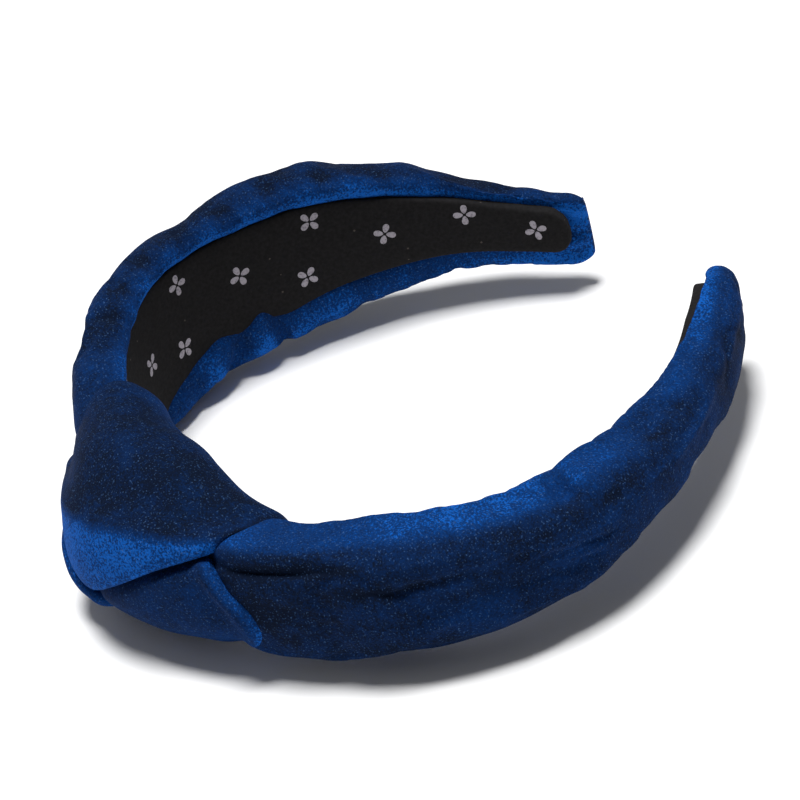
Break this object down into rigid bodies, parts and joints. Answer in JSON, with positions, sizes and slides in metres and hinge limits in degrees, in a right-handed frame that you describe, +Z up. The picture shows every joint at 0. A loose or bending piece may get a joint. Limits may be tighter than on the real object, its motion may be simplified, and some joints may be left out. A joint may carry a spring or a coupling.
{
  "type": "knotted headband",
  "caption": "Padded knotted headband: a lined sprung hoop that tapers to two tips, velvet sleeves on both arms and a folded velvet knot at the crown.",
  "frame": {"origin": "middle of the footprint, on the surface the headband lies on", "axes": "lying on its side: +Z up, +Y from the knot at the crown towards the two tips, +X towards the right arm"},
  "size_m": [0.151, 0.1566, 0.0454],
  "materials": {
    "velvet": "deep blue crushed velvet",
    "lining": "matt black printed cloth",
    "hoop": "smooth black",
    "foam": "open-cell foam",
    "glue": "set hot glue",
    "thread": "sewing thread"
  },
  "bodies": {
    "crown": {"hoop_core": "hoop", "lining_wrap": "lining", "knot_fold": "velvet", "knot_wrap": "velvet", "knot_batting": "foam", "knot_tack_thread": "thread"},
    "left_arm": {"sleeve_left": "velvet", "foam_pad_left": "foam", "glue_strip_left": "glue", "tip_thread_left": "thread"},
    "right_arm": {"sleeve_right": "velvet", "foam_pad_right": "foam", "glue_strip_right": "glue", "tip_thread_right": "thread"}
  },
  "joints": [
    {"name": "left_arm_flex", "type": "hinge", "parent": "crown", "child": "left_arm", "pos_m": [-0.03683, -0.04334, 0.0194], "axis": [0, 0, 1], "range_deg": [-4, 12], "stiffness_Nm_per_rad": 1.2, "deforming": ["hoop_core", "lining_wrap"]},
    {"name": "right_arm_flex", "type": "hinge", "parent": "crown", "child": "right_arm", "pos_m": [0.03683, -0.04334, 0.0194], "axis": [0, 0, -1], "range_deg": [-4, 12], "stiffness_Nm_per_rad": 1.2, "deforming": ["hoop_core", "lining_wrap"]}
  ]
}
